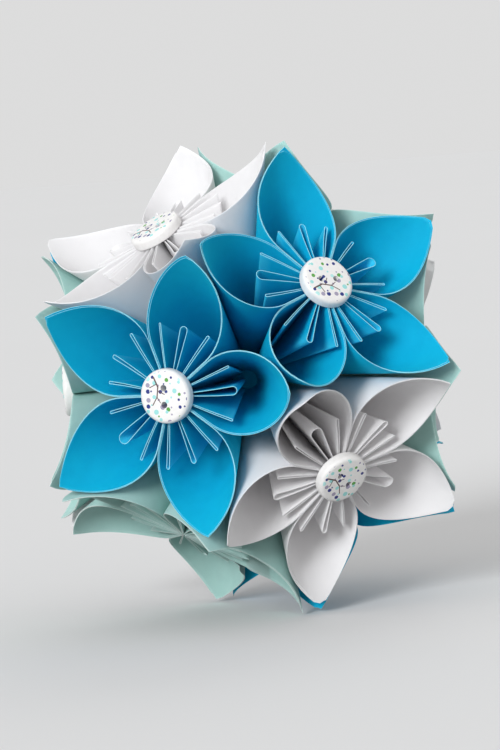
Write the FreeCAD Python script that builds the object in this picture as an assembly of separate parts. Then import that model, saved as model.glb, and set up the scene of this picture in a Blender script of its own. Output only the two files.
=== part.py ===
import FreeCAD, Part
import math
import os

# Kusudama paper ball, in millimetres. Sixty petals are each folded from one square of paper. Five are
# glued side by side, flat sides together, into each of twelve flowers, and the flowers are glued back to
# back round a lump of glue. A wooden button is glued over the middle of each flower but one. The glue
# also holds a socket for the twig that carries the ball.
# The origin is the ball's centre. The flowers face out along the corners of a regular icosahedron that
# has two corners on X and the middle of an edge on Z. The twig comes in along that edge, from below.
# A petal is modelled standing on the flower's axis, which is +Z, with its middle in the XZ plane.

Vec = FreeCAD.Vector
AXIS = Vec(0, 0, 1)

# Paper
paper_square = 99.0  # side of the square, one sixth of a page of 210 by 297
wall_thickness = 0.3  # two layers and the glue between them
pleat_thickness = 0.5  # side pleat: two layers, not quite closed
loop_wall = 0.2  # wall of the open loop in the petal's middle
tip_gap = 2.2  # from each petal's tip to the line where three flowers meet
pleat_turn = 23.0  # degrees from the petal's middle to its side pleats
loop_turn = 5.0  # degrees from the petal's middle to the flat sides of its loop
seam_rib = 2.0  # how far from the axis the layers lie pressed into one
pleat_clearance = 0.1  # from a side pleat's inner edge to the next petal

# Glue and twig socket
foot_level = 12.0  # from the ball's centre to the flowers' inner ends, which the glue joins
twig_diameter = 10.0
twig_clearance = 0.2  # round the twig, each side
sleeve_wall = 0.9
sleeve_mouth = 46.0  # the mouth's distance from the ball's centre
socket_depth = 26.0
sleeve_clearance = 0.05  # between the sleeve and the paper pressed back round it

# Buttons
button_diameter = 15.0
button_thickness = 3.2
button_edge = 0.7  # easing of the edge of the face
hole_diameter = 1.8
hole_spacing = 4.6

# Numbers that shape nothing by themselves
petals_per_flower = 5
cup_strips = 6  # flat strips in half of a cup's round end
loop_strips = 2
solve_steps = 50

# Flower's place, as a corner of the icosahedron before it is turned about Z
golden = (1 + math.sqrt(5)) / 2
flower_corners = {
    "right": (1, golden, 0),
    "left": (-1, -golden, 0),
    "back_right": (-1, golden, 0),
    "front_left": (1, -golden, 0),
    "top_right": (0, 1, golden),
    "top_left": (0, -1, golden),
    "bottom_right": (0, 1, -golden),
    "bottom_left": (0, -1, -golden),
    "upper_front": (golden, 0, 1),
    "lower_front": (golden, 0, -1),
    "upper_back": (-golden, 0, 1),
    "lower_back": (-golden, 0, -1),
}
bare_flower = "bottom_left"

# How each button happens to be turned, in degrees about its flower's axis
button_turns = {
    "right": 20.0,
    "left": 75.0,
    "back_right": 130.0,
    "front_left": 52.0,
    "top_right": 55.0,
    "top_left": 100.0,
    "bottom_right": 160.0,
    "upper_front": 119.0,
    "lower_front": 47.0,
    "upper_back": 145.0,
    "lower_back": 85.0,
}

# Worked out from the sizes above
side = paper_square / 2  # folding the square in four leaves this length along the seam
pleat_reach = math.radians(45) / 2  # angle at the sheet's corner of each folded pleat
half_turn = math.pi / petals_per_flower
corner_turn = -math.degrees(math.atan(golden))
bore_radius = twig_diameter / 2 + twig_clearance
sleeve_radius = bore_radius + sleeve_wall


def corner_direction(name):
    direction = Vec(*flower_corners[name]).normalize()
    return FreeCAD.Rotation(AXIS, corner_turn).multVec(direction)


directions = {name: corner_direction(name) for name in flower_corners}
flower_spacing = directions["right"].getAngle(directions["back_right"])

# Angle from a flower's axis to the line where it meets two others, and to its petals' tips
meeting_angle = math.atan(2 * math.tan(flower_spacing / 2) / (2 * math.cos(half_turn)))
tip_angle = meeting_angle - math.atan(tip_gap / (side * math.sqrt(2)))


def solve(balance, low, high):
    """Where balance, below zero at low and above it at high, passes zero."""
    for _ in range(solve_steps):
        middle = (low + high) / 2
        if balance(middle) < 0:
            low = middle
        else:
            high = middle
    return (low + high) / 2


def end_half_width(turn, middle, reach):
    """Half the width of a cup's round end, seen along its own middle line, at distance one."""
    return math.tan(turn) * math.cos(middle) * math.sqrt(
        math.tan(middle) ** 2 - math.tan(reach - middle) ** 2
    )


def end_directions(turn, middle, reach, strips):
    """Directions round half of a cup's end, from its flat side to its middle plane.

    The end is an elliptical cone about a line at the angle middle from the flower's axis. It leaves two
    flat sides, at plus and minus turn, without a crease, and reaches out to the angle reach.
    """
    long_half = math.tan(reach - middle)
    wide_half = end_half_width(turn, middle, reach)
    start = math.acos(-long_half / math.tan(middle))
    along = Vec(math.sin(middle), 0, math.cos(middle))
    outward = Vec(math.cos(middle), 0, -math.sin(middle))
    found = []
    for step in range(strips + 1):
        angle = start * (1 - step / strips)
        across = Vec(0, wide_half * math.sin(angle), 0)
        found.append((along + outward * (long_half * math.cos(angle)) + across).normalize())
    return found


def unrolled_angles(end):
    """How far round the flat sheet each direction lies, from the seam."""
    angles = [end[0].getAngle(AXIS)]
    for before, after in zip(end, end[1:]):
        angles.append(angles[-1] + before.getAngle(after))
    return angles


def flat_face(*points):
    return Part.Face(Part.makePolygon(list(points) + [points[0]]))


def across_middle(vector):
    return Vec(vector.x, -vector.y, vector.z)


def inner_corners(turn, end, thickness):
    """For each direction of end, how far the line where two strips meet moves on the wall's inner side."""
    normals = [Vec(-math.sin(turn), math.cos(turn), 0)]
    for here, after in zip(end, end[1:]):
        normals.append(here.cross(after).normalize())
    normals.append(across_middle(normals[-1]))
    moves = []
    for before, after in zip(normals, normals[1:]):
        middle = (before + after).normalize()
        moves.append(middle * (-thickness / middle.dot(before)))
    return moves


def wall_half(turn, end, rim, thickness):
    """Half of a folded cup: a flat side that starts at the axis, then half of the end in narrow strips.

    Every strip runs straight out from the ball's centre, as folded paper does. rim holds the wall's
    length from that centre in each direction of end.
    """
    moves = inner_corners(turn, end, thickness)
    top = [direction * length for direction, length in zip(end, rim)]
    foot = [direction * (foot_level / direction.z) for direction in end]
    inner_top = [point + move for point, move in zip(top, moves)]
    inner_top[0] -= end[0] * (moves[0].z / end[0].z)
    inner_foot = [
        point + move - direction * (move.z / direction.z)
        for point, move, direction in zip(foot, moves, end)
    ]

    # Where the flat side meets the petal's middle plane
    inner_x = thickness / math.sin(turn)
    seam_top = Vec(0, 0, top[0].z)
    seam_foot = Vec(0, 0, foot_level)
    inner_seam_top = Vec(inner_x, 0, top[0].z)
    inner_seam_foot = Vec(inner_x, 0, foot_level)

    faces = [
        flat_face(seam_foot, foot[0], top[0], seam_top),
        flat_face(inner_seam_foot, inner_foot[0], inner_top[0], inner_seam_top),
        flat_face(seam_top, top[0], inner_top[0], inner_seam_top),
        flat_face(seam_foot, seam_top, inner_seam_top, inner_seam_foot),
        flat_face(foot[-1], top[-1], inner_top[-1], inner_foot[-1]),
        flat_face(seam_foot, *foot, *reversed(inner_foot), inner_seam_foot),
    ]
    for here, after in zip(range(len(end) - 1), range(1, len(end))):
        faces.append(flat_face(foot[here], foot[after], top[after], top[here]))
        faces.append(flat_face(inner_foot[here], inner_foot[after], inner_top[after], inner_top[here]))
        faces.append(flat_face(top[here], top[after], inner_top[here]))
        faces.append(flat_face(top[after], inner_top[after], inner_top[here]))
    shell = Part.Shell(faces)
    shell.sewShape()
    solid = Part.Solid(shell)
    if solid.Volume < 0:
        solid.reverse()
    return solid


def cup_half():
    """Half of the petal's own cup. Its rim is the edge of the square, curled up to the tip."""

    def too_wide(middle):
        end = end_directions(half_turn, middle, tip_angle, cup_strips)
        return unrolled_angles(end)[-1] - math.radians(45)

    middle = solve(too_wide, tip_angle / 2 + 0.001, tip_angle - 0.01)
    end = end_directions(half_turn, middle, tip_angle, cup_strips)
    rim = [side / math.cos(angle) for angle in unrolled_angles(end)]
    return wall_half(half_turn, end, rim, wall_thickness)


def loop_half():
    """Half of the loop in the petal's middle. Its end is round and its rim is level."""
    turn = math.radians(loop_turn)

    def too_narrow(middle):
        return end_half_width(turn, middle, pleat_reach) - math.tan(pleat_reach - middle)

    middle = solve(too_narrow, pleat_reach / 2 + 0.001, pleat_reach)
    end = end_directions(turn, middle, pleat_reach, loop_strips)
    rim = [side / direction.z for direction in end]
    return wall_half(turn, end, rim, loop_wall)


def side_pleat():
    """A folded triangle that stands out from the seam and tapers to the ball's centre."""
    turn = math.radians(pleat_turn)
    start = (pleat_thickness / 2) / math.sin(half_turn - turn) + pleat_clearance
    slope = math.tan(pleat_reach)
    outline = flat_face(
        Vec(start, 0, foot_level),
        Vec(foot_level * slope, 0, foot_level),
        Vec(side * slope, 0, side),
        Vec(start, 0, side),
    )
    pleat = outline.extrude(Vec(0, pleat_thickness, 0))
    pleat.translate(Vec(0, -pleat_thickness / 2, 0))
    pleat.rotate(Vec(), AXIS, pleat_turn)
    return pleat


def rib_half():
    """Half of the seam, where the layers of the petal lie pressed together."""
    width = seam_rib * math.cos(half_turn)
    outline = flat_face(
        Vec(0, 0, foot_level),
        Vec(width, 0, foot_level),
        Vec(width, seam_rib * math.sin(half_turn), foot_level),
    )
    return outline.extrude(AXIS * (side - foot_level))


def make_petal():
    half = cup_half().fuse([loop_half(), side_pleat(), rib_half()])
    other = half.mirror(Vec(), Vec(0, 1, 0))
    return half.fuse(other).removeSplitter().Solids[0]


def flower_placement(name):
    """Turns the flower's axis from +Z to its own direction, with its petals between its neighbours."""
    axis = directions[name]
    near = min(
        (other for other in directions.values() if other.getAngle(axis) > 0.1),
        key=lambda other: (round(other.getAngle(axis), 3), round(other.x, 3), round(other.z, 3)),
    )
    to_neighbour = (near - axis * near.dot(axis)).normalize()
    first = FreeCAD.Rotation(axis, math.degrees(half_turn)).multVec(to_neighbour)
    return FreeCAD.Placement(Vec(), FreeCAD.Rotation(first, axis.cross(first), axis, "ZXY"))


def placed(shape, placement):
    moved = shape.copy()
    moved.transformShape(placement.toMatrix(), True)
    return moved


def make_flower(petal, name):
    """Five petals in their place, each cut back where the twig's sleeve and the twig pass it."""
    passage = Part.makeCylinder(sleeve_radius + sleeve_clearance, 2 * paper_square, Vec(), AXIS * -1)
    petals = []
    for count in range(petals_per_flower):
        turned = FreeCAD.Placement(Vec(), FreeCAD.Rotation(AXIS, count * 360 / petals_per_flower))
        one = placed(petal, flower_placement(name).multiply(turned))
        if one.common(passage).Volume > 0:
            one = max(one.cut(passage).Solids, key=lambda solid: solid.Volume)
        petals.append(one)
    return Part.makeCompound(petals)


def make_button():
    """A turned button with an eased edge and two holes, its back on the XY plane."""
    disc = Part.makeCylinder(button_diameter / 2, button_thickness)
    face_edge = [edge for edge in disc.Edges if edge.BoundBox.ZMin > button_thickness / 2]
    button = disc.makeChamfer(button_edge, face_edge)
    for x in (-hole_spacing / 2, hole_spacing / 2):
        button = button.cut(Part.makeCylinder(hole_diameter / 2, button_thickness, Vec(x, 0, 0)))
    return button


def place_button(button, name):
    """Seats the button on the level edges of the flower's pleats."""
    seat = FreeCAD.Placement(Vec(0, 0, side), FreeCAD.Rotation(AXIS, button_turns[name]))
    return placed(button, flower_placement(name).multiply(seat))


def make_glue():
    """The lump of glue between the flowers' inner ends, drawn out into a sleeve round the twig's end."""
    width = 4 * foot_level
    lump = Part.makeBox(width, width, 2 * foot_level, Vec(-width / 2, -width / 2, -foot_level))
    slabs = [placed(lump, flower_placement(name)) for name in flower_corners]
    lump = slabs[0]
    for slab in slabs[1:]:
        lump = lump.common(slab)
    down = AXIS * -1
    sleeve = Part.makeCylinder(sleeve_radius, sleeve_mouth, Vec(), down)
    bore = Part.makeCylinder(bore_radius, 2 * socket_depth, down * (sleeve_mouth - socket_depth), down)
    return lump.fuse(sleeve).cut(bore).removeSplitter()


os.makedirs("parts", exist_ok=True)

folded_petal = make_petal()
plain_button = make_button()
make_glue().exportStep("parts/glue_core.step")
for place in flower_corners:
    make_flower(folded_petal, place).exportStep("parts/flower_" + place + ".step")
    if place != bare_flower:
        place_button(plain_button, place).exportStep("parts/button_" + place + ".step")
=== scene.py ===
"""Dresses the kusudama paper ball: twelve folded paper flowers, eleven printed buttons and the glue."""
import math
import random

import bpy
from mathutils import Matrix, Vector


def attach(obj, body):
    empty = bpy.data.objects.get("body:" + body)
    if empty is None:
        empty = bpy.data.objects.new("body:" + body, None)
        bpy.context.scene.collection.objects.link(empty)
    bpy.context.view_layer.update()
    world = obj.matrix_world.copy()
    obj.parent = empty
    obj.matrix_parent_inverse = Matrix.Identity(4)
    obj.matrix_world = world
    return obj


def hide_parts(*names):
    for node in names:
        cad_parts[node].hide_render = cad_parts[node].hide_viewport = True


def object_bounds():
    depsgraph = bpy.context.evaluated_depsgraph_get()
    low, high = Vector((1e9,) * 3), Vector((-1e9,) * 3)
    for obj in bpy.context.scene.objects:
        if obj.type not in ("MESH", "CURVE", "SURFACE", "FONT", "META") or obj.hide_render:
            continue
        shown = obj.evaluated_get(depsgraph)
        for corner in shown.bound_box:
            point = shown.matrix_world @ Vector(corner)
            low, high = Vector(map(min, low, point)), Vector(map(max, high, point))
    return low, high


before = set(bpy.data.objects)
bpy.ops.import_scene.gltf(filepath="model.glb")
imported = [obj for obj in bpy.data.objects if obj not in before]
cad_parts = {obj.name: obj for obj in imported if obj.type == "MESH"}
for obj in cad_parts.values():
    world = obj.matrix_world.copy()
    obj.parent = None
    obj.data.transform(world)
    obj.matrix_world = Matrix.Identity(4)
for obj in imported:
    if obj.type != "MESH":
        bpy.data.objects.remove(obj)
cad_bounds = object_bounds()

# Sizes of the ball, in millimetres, as its solids have them
MM = 0.001
PAPER_SQUARE = 99.0
TIP_GAP = 2.2
PLEAT_TURN = math.radians(23.0)
FOOT_LEVEL = 12.0
BUTTON_DIAMETER = 15.0
BUTTON_THICKNESS = 3.2
HOLE_DIAMETER = 1.8
HOLE_SPACING = 4.6
PETALS = 5

# The paper as it shows
PAPER_THICKNESS = 0.15
LAYER_GAP = 0.19
PLEAT_PAPER = 0.18
PLEAT_FOOT = 17.0
CUP_SEAM = math.radians(0.7)
PLEAT_SEAM = math.radians(2.0)
CUP_POINT = Vector((4.6, 0, 12.0))
TIP_START = 0.35
RIM_BAND = 0.02
# Painted highlight: how much paler the sheets' rims are painted, and the share of the way from a pleat's seam
# to its fold past which it is painted paler
RIM_HIGHLIGHT = 0.6
FOLD_HIGHLIGHT_START = 0.8
DENT_REACH = 7.6
DENT_EDGE = 6.2
PAPER_SMOOTH_ANGLE = math.radians(40)

# How the petals differ, from the least to the most, in degrees for angles and millimetres for lengths
TURN_SLACK = (0.1, 0.35)
REACH_SLACK = (0.1, 0.7)
TIP_CURL = (0.0, 0.7)
OUTER_CRUSH = (-1.2, 1.6)
INNER_CRUSH = (-0.5, 1.8)
INNER_DROP = (0.08, 0.35)
INNER_SKEW = (-0.012, 0.012)  # share of the rim, for each radian from the seam
PLEAT_SWAY = (-2.2, 1.2)
SIDE_PLEAT = {"opening": (0.35, 1.0), "slack": (0.0, 1.6), "lean": (-2.5, 2.5), "drop": (0.0, 0.7)}
LOOP = {"opening": (1.2, 5.2), "slack": (0.0, 1.0), "lean": (-3.0, 3.0), "drop": (0.0, 0.6)}

# How finely the sheets are divided
FLAT_COLUMNS = 5
ROUND_COLUMNS = 16
CUP_ROWS = 9
PLEAT_FLAT_COLUMNS = 4
PLEAT_ROUND_COLUMNS = 4
PLEAT_ROWS = 6
MERGE_DISTANCE = 0.001
BUTTON_SIDES = 72
HOLE_SIDES = 28
EDGE_STEPS = 5

# The button's eased edges and its print, in millimetres
FACE_EDGE = 1.25
BACK_EDGE = 0.4
BUTTON_SMOOTH_ANGLE = math.radians(35)
PRINT_RADIUS = 6.9
DOTS_PER_MM = 0.50
SMALLEST_DOT = 0.10  # share of the dots' spacing
LARGEST_DOT = 0.36
STEM_FOOT = (-5.2, -2.9)
STEM_BEND = (-2.6, -1.7)
STEM_FORK = (0.2, -2.1)
STEM_TIP = (2.4, -3.5)
SPRIG = (
    {"start": STEM_FOOT, "finish": STEM_BEND, "width": 0.42},
    {"start": STEM_BEND, "finish": STEM_FORK, "width": 0.36},
    {"start": STEM_FORK, "finish": STEM_TIP, "width": 0.28},
    {"start": (-3.4, -2.1), "finish": (-2.4, -4.2), "width": 0.24},
    {"start": (-1.6, -1.85), "finish": (-0.6, 0.2), "width": 0.24},
    {"start": STEM_FORK, "finish": (1.7, -1.1), "width": 0.22},
)

# Colours of the button's paint and print, and of the glue
WHITE_PAINT = (0.83, 0.82, 0.80)
WHITE_BRUSHED = (0.87, 0.86, 0.85)
SPRIG_BROWN = (0.10, 0.055, 0.05)
TEAL = (0.33, 0.72, 0.70)
NAVY = (0.020, 0.035, 0.22)
SLATE = (0.36, 0.33, 0.45)
PALE_TEAL = (0.45, 0.78, 0.76)
LEAF_GREEN = (0.10, 0.36, 0.06)
DOT_COLOURS = {0.0: TEAL, 0.34: NAVY, 0.56: SLATE, 0.70: PALE_TEAL, 0.86: LEAF_GREEN}
GLUE = (0.74, 0.72, 0.64)
GLUE_MILKY = (0.82, 0.81, 0.76)

# How coarse the materials' noise is, per metre, and the part of its range that is used
CLOUDS_PER_M = 260.0
FIBRES_PER_M = 2600.0
BRUSH_PER_M = 900.0
LUMPS_PER_M = 420.0
FLOOR_DRIFT_PER_M = 3.0
NOISE_LOW = 0.35
NOISE_HIGH = 0.65
FINE_BUMP = 0.00005
GLUE_BUMP = 0.0006

# Camera, in metres and, for its lens and film, millimetres
CAMERA_RIGHT = Vector((0.9968, -0.0045, -0.0801))
CAMERA_UP = Vector((0.0802, 0.0840, 0.9932))
CAMERA_DISTANCE = 1.083
LENS = 184.0
FILM_HEIGHT = 36.0

# Light from all round, the plain backdrop, and the floor that matches it
LIGHT_AROUND = 0.60
BACKDROP = (0.72, 0.72, 0.72)
FLOOR_PALE = (0.766, 0.766, 0.766)
FLOOR_DULL = (0.752, 0.752, 0.752)
FLOOR_GLOW = (0.45, 0.45, 0.45)
FLOOR_RADIUS = 4.0
FLOOR_SIDES = 96
FLOOR_GAP = 0.0005

GOLDEN = (1 + math.sqrt(5)) / 2
HALVINGS = 40
SIDE = PAPER_SQUARE / 2
HALF_TURN = math.pi / PETALS
PLEAT_REACH = math.radians(22.5)
SHEET_CORNER = math.radians(45)

FLOWER_CORNERS = {
    "right": (1, GOLDEN, 0),
    "left": (-1, -GOLDEN, 0),
    "back_right": (-1, GOLDEN, 0),
    "front_left": (1, -GOLDEN, 0),
    "top_right": (0, 1, GOLDEN),
    "top_left": (0, -1, GOLDEN),
    "bottom_right": (0, 1, -GOLDEN),
    "bottom_left": (0, -1, -GOLDEN),
    "upper_front": (GOLDEN, 0, 1),
    "lower_front": (GOLDEN, 0, -1),
    "upper_back": (-GOLDEN, 0, 1),
    "lower_back": (-GOLDEN, 0, -1),
}
FLOWER_PAPER = {
    "blue_paper": ("front_left", "upper_front", "upper_back", "bottom_right"),
    "white_paper": ("lower_front", "top_left", "lower_back", "back_right"),
    "mint_paper": ("left", "right", "bottom_left", "top_right"),
}
BUTTON_TURNS = {
    "right": 20.0,
    "left": 75.0,
    "back_right": 130.0,
    "front_left": 52.0,
    "top_right": 55.0,
    "top_left": 100.0,
    "bottom_right": 160.0,
    "upper_front": 119.0,
    "lower_front": 47.0,
    "upper_back": 145.0,
    "lower_back": 85.0,
}


# Petals whose tips curl back from their neighbours, or past them where below zero, in degrees
CURLED_BACK = {
    ("left", "lower_back", "upper_back"): 1.5,
    ("back_right", "right", "top_right"): -5.0,
    ("right", "top_right", "upper_front"): -1.0,
}

# Petals whose tips are crushed shorter, in millimetres
LEAST_CRUSHED = 0.25
CRUSHED_TIPS = {
    ("right", "back_right", "top_right"): 10.0,
    ("right", "top_right", "upper_front"): 5.0,
    ("right", "back_right", "bottom_right"): 6.0,
    ("right", "bottom_right", "lower_front"): 3.5,
    ("top_right", "back_right", "right"): 6.0,
}


def corner_direction(name):
    turned = Matrix.Rotation(-math.atan(GOLDEN), 3, "Z")
    return turned @ Vector(FLOWER_CORNERS[name]).normalized()


DIRECTIONS = {name: corner_direction(name) for name in FLOWER_CORNERS}
SPACING = DIRECTIONS["right"].angle(DIRECTIONS["back_right"])
MEETING_ANGLE = math.atan(math.tan(SPACING / 2) / math.cos(HALF_TURN))
TIP_ANGLE = MEETING_ANGLE - math.atan(TIP_GAP / (SIDE * math.sqrt(2)))


def flower_matrix(name):
    """Turns a flower that stands on +Z, in millimetres, to its place in the ball, in metres."""
    axis = DIRECTIONS[name]
    near = min(
        (other for other in DIRECTIONS.values() if other.angle(axis) > 0.1),
        key=lambda other: (round(other.angle(axis), 3), round(other.x, 3), round(other.z, 3)),
    )
    to_neighbour = (near - axis * near.dot(axis)).normalized()
    first = Matrix.Rotation(HALF_TURN, 3, axis) @ to_neighbour
    turn = Matrix((first, axis.cross(first), axis)).transposed()
    return Matrix.Scale(MM, 4) @ turn.to_4x4()


def add_camera():
    right = CAMERA_RIGHT.normalized()
    up = CAMERA_UP.normalized()
    back = right.cross(up)
    data = bpy.data.cameras.new("camera")
    camera = bpy.data.objects.new("camera", data)
    bpy.context.scene.collection.objects.link(camera)
    turn = Matrix((right, up, back)).transposed()
    camera.matrix_world = Matrix.Translation(back * CAMERA_DISTANCE) @ turn.to_4x4()
    data.sensor_fit = "VERTICAL"
    data.sensor_height = FILM_HEIGHT
    data.lens = LENS
    bpy.context.scene.camera = camera


def add_lamp(name, place, spread, strength, colour):
    """A far, soft lamp, so that the floor is as bright far away as near the ball."""
    data = bpy.data.lights.new(name, "SUN")
    data.angle = math.radians(spread)
    data.energy = strength
    data.color = colour
    lamp = bpy.data.objects.new(name, data)
    bpy.context.scene.collection.objects.link(lamp)
    lamp.location = place
    lamp.rotation_euler = (-Vector(place)).to_track_quat("-Z", "Y").to_euler()


def light_world():
    """Even light from all round, and a plain backdrop for what the camera and shiny faces see."""
    world = bpy.data.worlds.new("studio")
    bpy.context.scene.world = world
    world.use_nodes = True
    nodes = world.node_tree.nodes
    links = world.node_tree.links
    nodes.clear()
    path = nodes.new("ShaderNodeLightPath")
    seen = nodes.new("ShaderNodeMath")
    seen.operation = "MAXIMUM"
    links.new(path.outputs["Is Camera Ray"], seen.inputs[0])
    links.new(path.outputs["Is Glossy Ray"], seen.inputs[1])
    around = nodes.new("ShaderNodeBackground")
    around.inputs["Color"].default_value = (1.0, 1.0, 1.0, 1)
    around.inputs["Strength"].default_value = LIGHT_AROUND
    behind = nodes.new("ShaderNodeBackground")
    behind.inputs["Color"].default_value = (*BACKDROP, 1)
    behind.inputs["Strength"].default_value = 1.0
    mixed = nodes.new("ShaderNodeMixShader")
    out = nodes.new("ShaderNodeOutputWorld")
    links.new(seen.outputs[0], mixed.inputs["Fac"])
    links.new(around.outputs[0], mixed.inputs[1])
    links.new(behind.outputs[0], mixed.inputs[2])
    links.new(mixed.outputs[0], out.inputs["Surface"])


add_camera()
add_lamp("key_lamp", place=(-0.48, -0.88, 0.40), spread=22.0, strength=2.3, colour=(0.97, 0.985, 1.0))
add_lamp("low_lamp", place=(0.30, -0.9, -0.30), spread=50.0, strength=0.90, colour=(1.0, 0.87, 0.88))
add_lamp("back_lamp", place=(0.4, 1.2, 0.8), spread=45.0, strength=0.5, colour=(1.0, 1.0, 1.0))
light_world()
bpy.context.scene.view_settings.view_transform = "Standard"


def new_material(name, colour, roughness):
    material = bpy.data.materials.new(name)
    material.use_nodes = True
    shader = material.node_tree.nodes["Principled BSDF"]
    shader.inputs["Base Color"].default_value = (*colour, 1)
    shader.inputs["Roughness"].default_value = roughness
    return material, shader


def add_noise(tree, place, scale, detail):
    noise = tree.nodes.new("ShaderNodeTexNoise")
    noise.inputs["Scale"].default_value = scale
    noise.inputs["Detail"].default_value = detail
    tree.links.new(place, noise.inputs["Vector"])
    return noise.outputs["Fac"]


def mixed_colour(tree, share, first, second):
    """A colour between first and second, each a colour or a socket, by the socket share."""
    mix = tree.nodes.new("ShaderNodeMix")
    mix.data_type = "RGBA"
    tree.links.new(share, mix.inputs["Factor"])
    for name, value in (("A", first), ("B", second)):
        socket = next(one for one in mix.inputs if one.name == name and one.type == "RGBA")
        if isinstance(value, tuple):
            socket.default_value = (*value, 1)
        else:
            tree.links.new(value, socket)
    return next(one for one in mix.outputs if one.type == "RGBA")


def reranged(tree, value, low=NOISE_LOW, high=NOISE_HIGH, to_low=0.0, to_high=1.0):
    node = tree.nodes.new("ShaderNodeMapRange")
    for name, number in (("From Min", low), ("From Max", high), ("To Min", to_low), ("To Max", to_high)):
        node.inputs[name].default_value = number
    tree.links.new(value, node.inputs["Value"])
    return node.outputs["Result"]


def add_bump(tree, shader, height, strength, distance):
    bump = tree.nodes.new("ShaderNodeBump")
    bump.inputs["Strength"].default_value = strength
    bump.inputs["Distance"].default_value = distance
    tree.links.new(height, bump.inputs["Height"])
    tree.links.new(bump.outputs["Normal"], shader.inputs["Normal"])


def paper(name, colour, cloudy, painted_highlight_colour):
    """Matt paper that lets some light through: fine fibres, faintly cloudy, and painted paler along its folds
    and rims as a highlight.
    """
    material, shader = new_material(name, colour, 0.72)
    shader.inputs["Specular IOR Level"].default_value = 0.12
    shader.inputs["Subsurface Weight"].default_value = 0.6
    shader.inputs["Subsurface Radius"].default_value = (1.0, 1.0, 1.0)
    shader.inputs["Subsurface Scale"].default_value = 0.0005
    tree = material.node_tree
    place = tree.nodes.new("ShaderNodeTexCoord").outputs["Object"]
    clouds = reranged(tree, add_noise(tree, place, CLOUDS_PER_M, 3.0))
    fibres = add_noise(tree, place, FIBRES_PER_M, 4.0)
    speckled = reranged(tree, fibres, low=0.3, high=0.7, to_high=0.55)
    toned = mixed_colour(tree, clouds, colour, cloudy)
    toned = mixed_colour(tree, speckled, toned, cloudy)
    # Painted highlight: the paper is mixed towards a paler colour along the pleats' folds and the sheets'
    # rims
    painted_highlight = tree.nodes.new("ShaderNodeAttribute")
    painted_highlight.attribute_name = "painted_highlight"
    painted_highlight_share = reranged(tree, painted_highlight.outputs["Fac"], low=0.25, high=1.0, to_high=0.8)
    tree.links.new(mixed_colour(tree, painted_highlight_share, toned, painted_highlight_colour), shader.inputs["Base Color"])
    add_bump(tree, shader, fibres, 0.22, FINE_BUMP)
    return material


# Each paper: its face colour, a cloudy tone, and a paler painted highlight colour for folds and rims; then
# its cut edge, painted paler as a highlight on the blue and mint papers
PAPERS = {
    "blue_paper": (
        paper("blue_paper", (0.001, 0.395, 0.650), (0.002, 0.425, 0.685), (0.05, 0.60, 0.86)),
        paper("blue_paper_edge_painted_highlight", (0.24, 0.72, 0.92), (0.32, 0.78, 0.95), (0.32, 0.78, 0.95)),
    ),
    "white_paper": (
        paper("white_paper", (0.89, 0.88, 0.89), (0.91, 0.90, 0.91), (0.92, 0.91, 0.92)),
        paper("white_paper_edge", (0.88, 0.87, 0.89), (0.90, 0.89, 0.91), (0.90, 0.89, 0.91)),
    ),
    "mint_paper": (
        paper("mint_paper", (0.37, 0.60, 0.56), (0.40, 0.64, 0.595), (0.62, 0.80, 0.76)),
        paper("mint_paper_edge_painted_highlight", (0.70, 0.86, 0.80), (0.74, 0.88, 0.83), (0.74, 0.88, 0.83)),
    ),
}


def solve(balance, low, high):
    """Where balance, below zero at low and above it at high, passes zero."""
    for _ in range(HALVINGS):
        middle = (low + high) / 2
        if balance(middle) < 0:
            low = middle
        else:
            high = middle
    return (low + high) / 2


def end_half_width(turn, middle, reach):
    """How wide half of a fold's round end is where it is widest, for a fold one unit deep."""
    return math.tan(turn) * math.cos(middle) * math.sqrt(
        math.tan(middle) ** 2 - math.tan(reach - middle) ** 2
    )


def end_directions(turn, middle, reach, steps):
    """Directions round half of a fold's round end, from its flat side to its middle plane."""
    long_half = math.tan(reach - middle)
    wide_half = end_half_width(turn, middle, reach)
    start = math.acos(-long_half / math.tan(middle))
    along = Vector((math.sin(middle), 0, math.cos(middle)))
    outward = Vector((math.cos(middle), 0, -math.sin(middle)))
    found = []
    for step in range(steps + 1):
        angle = start * (1 - step / steps)
        across = Vector((0, wide_half * math.sin(angle), 0))
        found.append((along + outward * (long_half * math.cos(angle)) + across).normalized())
    return found


def unrolled_angles(end):
    """How far round the flat sheet each direction lies, from the seam."""
    angles = [end[0].angle(Vector((0, 0, 1)))]
    for before, after in zip(end, end[1:]):
        angles.append(angles[-1] + before.angle(after))
    return angles


def flat_side(turn, end, count, start):
    """Directions along a fold's flat side, from the seam to just before its round end."""
    reach = end[0].angle(Vector((0, 0, 1)))
    found = []
    for step in range(count):
        angle = start + (reach - start) * step / count
        out = math.sin(angle)
        found.append((angle, Vector((out * math.cos(turn), out * math.sin(turn), math.cos(angle)))))
    return found


def both_halves(half):
    """The whole sheet from one half, from the seam on -Y, past the middle, to the seam on +Y."""
    columns = [{"angle": angle, "direction": direction, "part": 1} for angle, direction in half]
    across = [dict(column, direction=Vector((1, -1, 1)) * column["direction"], part=-1) for column in columns]
    return across + columns[-2::-1]


def cup_columns(turn, reach, drop, blunt, skew):
    """The petal's cup. Its rim is the edge of the square, curled up to the tip."""

    def too_wide(middle):
        return unrolled_angles(end_directions(turn, middle, reach, ROUND_COLUMNS))[-1] - SHEET_CORNER

    middle = solve(too_wide, reach / 2 + 0.001, reach - 0.01)
    end = end_directions(turn, middle, reach, ROUND_COLUMNS)
    half = flat_side(turn, end, FLAT_COLUMNS, CUP_SEAM) + list(zip(unrolled_angles(end), end))
    columns = both_halves(half)
    longest = SIDE / math.cos(SHEET_CORNER) - blunt
    for column in columns:
        direction = column["direction"]
        rim = SIDE / math.cos(column["angle"]) * (1 + skew * column["part"] * column["angle"])
        column["rim"] = min(rim, longest) - drop
        column["foot"] = FOOT_LEVEL / direction.z
        column["near_tip"] = max(0, (column["angle"] / SHEET_CORNER - TIP_START) / (1 - TIP_START))
        # No painted highlight across the cup's sides; only its rim is painted paler
        column["painted_highlight"] = 0.0
        column["closed"] = True
    return columns


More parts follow.
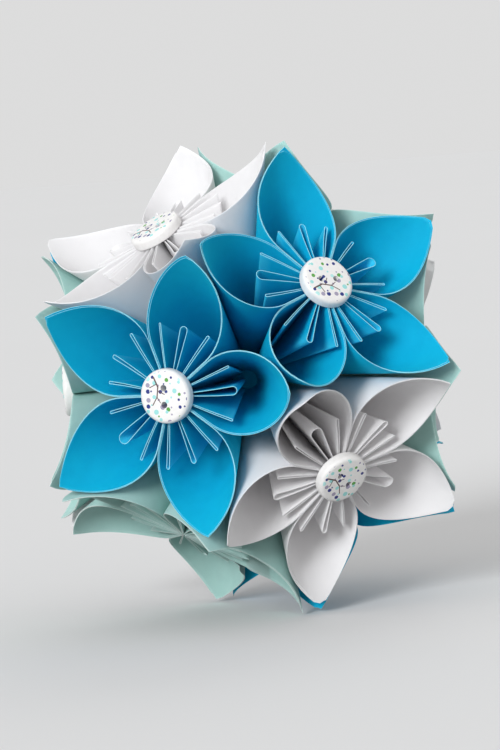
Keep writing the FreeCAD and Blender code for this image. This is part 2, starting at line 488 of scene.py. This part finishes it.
def pleat_columns(turn, opening, reach, drop, lean):
    """A pleat that opens like a narrow loop, where turn is where it stands and opening half its spread."""

    def too_narrow(middle):
        return end_half_width(opening, middle, reach) - math.tan(reach - middle)

    middle = solve(too_narrow, reach / 2 + 0.001, reach)
    end = end_directions(opening, middle, reach, PLEAT_ROUND_COLUMNS)
    half = flat_side(opening, end, PLEAT_FLAT_COLUMNS, PLEAT_SEAM) + list(zip(unrolled_angles(end), end))
    columns = both_halves(half)
    fold_angle = columns[len(half) - 1]["angle"]
    for column in columns:
        direction = column["direction"]
        out = direction.angle(Vector((0, 0, 1))) / reach
        column["rim"] = (SIDE - drop * out) / direction.z
        column["foot"] = PLEAT_FOOT / direction.z
        column["direction"] = Matrix.Rotation(turn + lean * out * out, 3, "Z") @ direction
        column["near_tip"] = 0.0
        column["closed"] = False
        # Painted highlight, growing towards the pleat's fold
        column["painted_highlight"] = max(0.0, (column["angle"] / fold_angle - FOLD_HIGHLIGHT_START) / (1 - FOLD_HIGHLIGHT_START))
    return columns


def deselect_all():
    bpy.ops.object.select_all(action="DESELECT")


def add_sheet(columns, rows, place, curl=0.0, inset=0.0):
    """A sheet ruled out from the ball's centre, one line for each column."""
    deselect_all()
    bpy.ops.mesh.primitive_grid_add(x_subdivisions=len(columns) - 1, y_subdivisions=rows, size=2)
    sheet = bpy.context.object
    mesh = sheet.data
    # Painted highlight: each point's share of the paler colour, along the pleats' folds and along the sheet's
    # rim
    painted_highlight = mesh.attributes.new("painted_highlight", "FLOAT", "POINT")
    last = len(columns) - 1
    for vertex in mesh.vertices:
        column = columns[round((vertex.co.x + 1) / 2 * last)]
        row = round((vertex.co.y + 1) / 2 * rows)
        if column["closed"] and row == 0:
            vertex.co = CUP_POINT
            continue
        height = (row - 1) / (rows - 1) if column["closed"] else row / rows
        height = 1 - RIM_BAND if row == rows - 1 else height
        length = column["foot"] + (column["rim"] - column["foot"]) * height
        bend = Matrix.Rotation(-curl * column["near_tip"] ** 2 * height ** 3, 3, "Y")
        painted_highlight.data[vertex.index].value = max(column["painted_highlight"], RIM_HIGHLIGHT if row == rows else 0.0)
        vertex.co = bend @ (column["direction"] * length)
    bpy.ops.object.mode_set(mode="EDIT")
    bpy.ops.mesh.remove_doubles(threshold=MERGE_DISTANCE)
    bpy.ops.object.mode_set(mode="OBJECT")
    if inset:
        normals = [vertex.normal.copy() for vertex in mesh.vertices]
        for vertex, normal in zip(mesh.vertices, normals):
            vertex.co -= normal * inset
    mesh.transform(place)
    return sheet


def joined(pieces):
    deselect_all()
    for piece in pieces:
        piece.select_set(True)
    bpy.context.view_layer.objects.active = pieces[0]
    bpy.ops.object.join()
    return bpy.context.object


def thicken(sheet, thickness, offset):
    deselect_all()
    sheet.select_set(True)
    bpy.context.view_layer.objects.active = sheet
    wall = sheet.modifiers.new("wall", "SOLIDIFY")
    wall.thickness = thickness * MM
    wall.offset = offset
    wall.use_even_offset = False
    # The cut edges take the paper's second material, painted paler as a highlight on the blue and mint papers
    wall.material_offset_rim = 1
    bpy.ops.object.modifier_apply(modifier="wall")


def dent_round_socket(mesh):
    """Presses the paper back round the twig's sleeve, which comes in from below."""
    for vertex in mesh.vertices:
        spread = math.hypot(vertex.co.x, vertex.co.y) / MM
        if vertex.co.z < 0 and 0 < spread < DENT_REACH:
            wanted = DENT_EDGE + (DENT_REACH - DENT_EDGE) * spread / DENT_REACH
            vertex.co.x *= wanted / spread
            vertex.co.y *= wanted / spread


def petal_neighbours(name, petal):
    """The two flowers that a petal's tip reaches towards, in the order of their names."""
    middle = flower_matrix(name) @ Matrix.Rotation(petal * math.tau / PETALS, 4, "Z") @ Vector((1, 0, 1))
    others = [other for other in DIRECTIONS if other != name]
    others.sort(key=lambda other: DIRECTIONS[other].angle(middle))
    return tuple(sorted(others[:2]))


def add_pleat(chance, place, turn, opening, slack, lean, drop):
    """One pleat or loop, where the last four are each the least and the most that it may draw."""
    opened = math.radians(chance.uniform(*opening))
    far = PLEAT_REACH - math.radians(chance.uniform(*slack))
    leaning = math.radians(chance.uniform(*lean))
    columns = pleat_columns(turn, opened, far, chance.uniform(*drop), leaning)
    return add_sheet(columns, PLEAT_ROWS, place)


def add_flower(name, slot, chance):
    cups = []
    pleats = []
    for petal in range(PETALS):
        place = flower_matrix(name) @ Matrix.Rotation(petal * math.tau / PETALS, 4, "Z")
        turn = HALF_TURN - math.radians(chance.uniform(*TURN_SLACK))
        reach = TIP_ANGLE - math.radians(chance.uniform(*REACH_SLACK))
        whose = (name, *petal_neighbours(name, petal))
        least_cut = CRUSHED_TIPS.get(whose, LEAST_CRUSHED)
        blunt = max(least_cut, chance.uniform(*OUTER_CRUSH))
        curl = math.radians(CURLED_BACK.get(whose, chance.uniform(*TIP_CURL)))
        drop = chance.uniform(*INNER_DROP)
        skew = chance.uniform(*INNER_SKEW)
        outer = cup_columns(turn, reach, 0.0, blunt, 0.0)
        inner = cup_columns(turn, reach, drop, max(least_cut, chance.uniform(*INNER_CRUSH)), skew)
        cups.append(add_sheet(outer, CUP_ROWS, place, curl))
        cups.append(add_sheet(inner, CUP_ROWS, place, curl, LAYER_GAP))
        for side in (-1, 1):
            stand = side * (PLEAT_TURN + math.radians(chance.uniform(*PLEAT_SWAY)))
            pleats.append(add_pleat(chance, place, stand, **SIDE_PLEAT))
        pleats.append(add_pleat(chance, place, 0.0, **LOOP))
    walls = joined(cups)
    folds = joined(pleats)
    for piece in (walls, folds):
        piece.data.materials.clear()
        for material in PAPERS[slot]:
            piece.data.materials.append(material)
    thicken(walls, PAPER_THICKNESS, -1)
    thicken(folds, PLEAT_PAPER, 1)
    flower = joined([walls, folds])
    flower.name = name + "_flower"
    if name.startswith("bottom"):
        dent_round_socket(flower.data)
    bpy.ops.object.shade_smooth_by_angle(angle=PAPER_SMOOTH_ANGLE)
    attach(flower, "root")
    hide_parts("flower_" + name)


chance = random.Random(12)
for slot, names in FLOWER_PAPER.items():
    for name in names:
        add_flower(name, slot, chance)


def add_math(tree, operation, *values):
    node = tree.nodes.new("ShaderNodeMath")
    node.operation = operation
    for socket, value in zip(node.inputs, values):
        if isinstance(value, (int, float)):
            socket.default_value = value
        else:
            tree.links.new(value, socket)
    return node.outputs[0]


def add_vector_math(tree, operation, first, second, output="Vector"):
    node = tree.nodes.new("ShaderNodeVectorMath")
    node.operation = operation
    for socket, value in zip(node.inputs, (first, second)):
        if isinstance(value, tuple):
            socket.default_value = value
        else:
            tree.links.new(value, socket)
    return node.outputs[output]


def stroke(tree, point, start, finish, width):
    """One inside a straight round-ended stroke between two points of the print, and zero outside."""
    run = (finish[0] - start[0], finish[1] - start[1])
    length = math.hypot(*run)
    heading = (run[0] / length, run[1] / length, 0)
    from_start = add_vector_math(tree, "SUBTRACT", point, (*start, 0))
    along = add_vector_math(tree, "DOT_PRODUCT", from_start, heading, "Value")
    along = add_math(tree, "MINIMUM", add_math(tree, "MAXIMUM", along, 0.0), length)
    foot = tree.nodes.new("ShaderNodeVectorMath")
    foot.operation = "SCALE"
    foot.inputs[0].default_value = heading
    tree.links.new(along, foot.inputs["Scale"])
    away = add_vector_math(tree, "DISTANCE", from_start, foot.outputs["Vector"], "Value")
    return add_math(tree, "LESS_THAN", away, width / 2)


def printed_paint():
    """White paint on wood, with scattered dots and a plain sprig printed on the face."""
    material, shader = new_material("printed_button", WHITE_PAINT, 0.42)
    tree = material.node_tree
    layer = tree.nodes.new("ShaderNodeUVMap")
    layer.uv_map = "print"
    point = layer.outputs["UV"]
    cells = tree.nodes.new("ShaderNodeTexVoronoi")
    cells.voronoi_dimensions = "2D"
    cells.inputs["Scale"].default_value = DOTS_PER_MM
    cells.inputs["Randomness"].default_value = 0.75
    tree.links.new(point, cells.inputs["Vector"])
    draw = tree.nodes.new("ShaderNodeSeparateColor")
    tree.links.new(cells.outputs["Color"], draw.inputs["Color"])
    size = reranged(tree, draw.outputs["Green"], low=0.0, high=1.0, to_low=SMALLEST_DOT, to_high=LARGEST_DOT)
    dots = add_math(tree, "LESS_THAN", cells.outputs["Distance"], size)
    palette = tree.nodes.new("ShaderNodeValToRGB")
    palette.color_ramp.interpolation = "CONSTANT"
    for position, colour in DOT_COLOURS.items():
        stops = palette.color_ramp.elements
        stop = stops[0] if position == 0.0 else stops.new(position)
        stop.color = (*colour, 1)
    palette.color_ramp.elements.remove(palette.color_ramp.elements[-1])
    tree.links.new(draw.outputs["Red"], palette.inputs["Fac"])
    sprig = None
    for line in SPRIG:
        one = stroke(tree, point, **line)
        sprig = one if sprig is None else add_math(tree, "MAXIMUM", sprig, one)
    from_middle = add_vector_math(tree, "LENGTH", point, (0, 0, 0), "Value")
    inside = add_math(tree, "LESS_THAN", from_middle, PRINT_RADIUS)
    place = tree.nodes.new("ShaderNodeTexCoord").outputs["Object"]
    brush = add_noise(tree, place, BRUSH_PER_M, 3.0)
    painted = mixed_colour(tree, reranged(tree, brush), WHITE_PAINT, WHITE_BRUSHED)
    printed = mixed_colour(tree, add_math(tree, "MULTIPLY", dots, inside), painted, palette.outputs["Color"])
    printed = mixed_colour(tree, add_math(tree, "MULTIPLY", sprig, inside), printed, SPRIG_BROWN)
    tree.links.new(printed, shader.inputs["Base Color"])
    add_bump(tree, shader, brush, 0.12, FINE_BUMP)
    return material


def make_button():
    deselect_all()
    bpy.ops.mesh.primitive_cylinder_add(
        vertices=BUTTON_SIDES,
        radius=BUTTON_DIAMETER / 2,
        depth=BUTTON_THICKNESS,
        location=(0, 0, BUTTON_THICKNESS / 2),
    )
    bpy.ops.object.transform_apply(location=True, rotation=True, scale=True)
    button = bpy.context.object
    for level, edge in ((BUTTON_THICKNESS, FACE_EDGE), (0.0, BACK_EDGE)):
        bpy.ops.object.mode_set(mode="EDIT")
        bpy.ops.mesh.select_mode(type="EDGE")
        bpy.ops.mesh.select_all(action="DESELECT")
        bpy.ops.object.mode_set(mode="OBJECT")
        for line in button.data.edges:
            ends = [button.data.vertices[index].co for index in line.vertices]
            line.select = all(abs(end.z - level) < MERGE_DISTANCE for end in ends)
        bpy.ops.object.mode_set(mode="EDIT")
        bpy.ops.mesh.bevel(offset=edge, segments=EDGE_STEPS, affect="EDGES")
        bpy.ops.object.mode_set(mode="OBJECT")
    for x in (-HOLE_SPACING / 2, HOLE_SPACING / 2):
        bpy.ops.mesh.primitive_cylinder_add(
            vertices=HOLE_SIDES,
            radius=HOLE_DIAMETER / 2,
            depth=3 * BUTTON_THICKNESS,
            location=(x, 0, 0),
        )
        drill = bpy.context.object
        deselect_all()
        bpy.context.view_layer.objects.active = button
        button.select_set(True)
        hole = button.modifiers.new("hole", "BOOLEAN")
        hole.object = drill
        hole.operation = "DIFFERENCE"
        bpy.ops.object.modifier_apply(modifier="hole")
        bpy.data.objects.remove(drill)
    layer = button.data.uv_layers.active or button.data.uv_layers.new()
    layer.name = "print"
    for corner in button.data.loops:
        spot = button.data.vertices[corner.vertex_index].co
        layer.uv[corner.index].vector = (spot.x, spot.y)
    button.data.materials.clear()
    button.data.materials.append(printed_paint())
    bpy.ops.object.shade_smooth_by_angle(angle=BUTTON_SMOOTH_ANGLE)
    return button


plain_button = make_button()
for name, turn in BUTTON_TURNS.items():
    button = plain_button.copy()
    button.data = plain_button.data.copy()
    button.name = name + "_button"
    bpy.context.scene.collection.objects.link(button)
    seat = Matrix.Translation((0, 0, SIDE)) @ Matrix.Rotation(math.radians(turn), 4, "Z")
    button.data.transform(flower_matrix(name) @ seat)
    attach(button, "root")
    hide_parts("button_" + name)
bpy.data.objects.remove(plain_button)


def milky_glue():
    material, shader = new_material("milky_glue", GLUE, 0.32)
    tree = material.node_tree
    place = tree.nodes.new("ShaderNodeTexCoord").outputs["Object"]
    lumps = add_noise(tree, place, LUMPS_PER_M, 3.0)
    milky = mixed_colour(tree, reranged(tree, lumps), GLUE, GLUE_MILKY)
    tree.links.new(milky, shader.inputs["Base Color"])
    add_bump(tree, shader, lumps, 0.5, GLUE_BUMP)
    return material


glue = milky_glue()
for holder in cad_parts["glue_core"].material_slots:
    holder.material = glue


def add_floor():
    """A plain floor just below the ball. Only the camera sees it as pale as the backdrop."""
    deselect_all()
    bpy.ops.mesh.primitive_circle_add(
        vertices=FLOOR_SIDES,
        radius=FLOOR_RADIUS,
        fill_type="NGON",
        location=(0, 0, cad_bounds[0][2] - FLOOR_GAP),
    )
    floor = bpy.context.object
    floor.name = "floor"
    material, shader = new_material("pale_floor", FLOOR_PALE, 0.9)
    shader.inputs["Specular IOR Level"].default_value = 0.0
    tree = material.node_tree
    place = tree.nodes.new("ShaderNodeTexCoord").outputs["Object"]
    drift = add_noise(tree, place, FLOOR_DRIFT_PER_M, 2.0)
    pale = mixed_colour(tree, drift, FLOOR_DULL, FLOOR_PALE)
    path = tree.nodes.new("ShaderNodeLightPath")
    seen = mixed_colour(tree, path.outputs["Is Camera Ray"], FLOOR_GLOW, pale)
    tree.links.new(seen, shader.inputs["Base Color"])
    floor.data.materials.append(material)


add_floor()
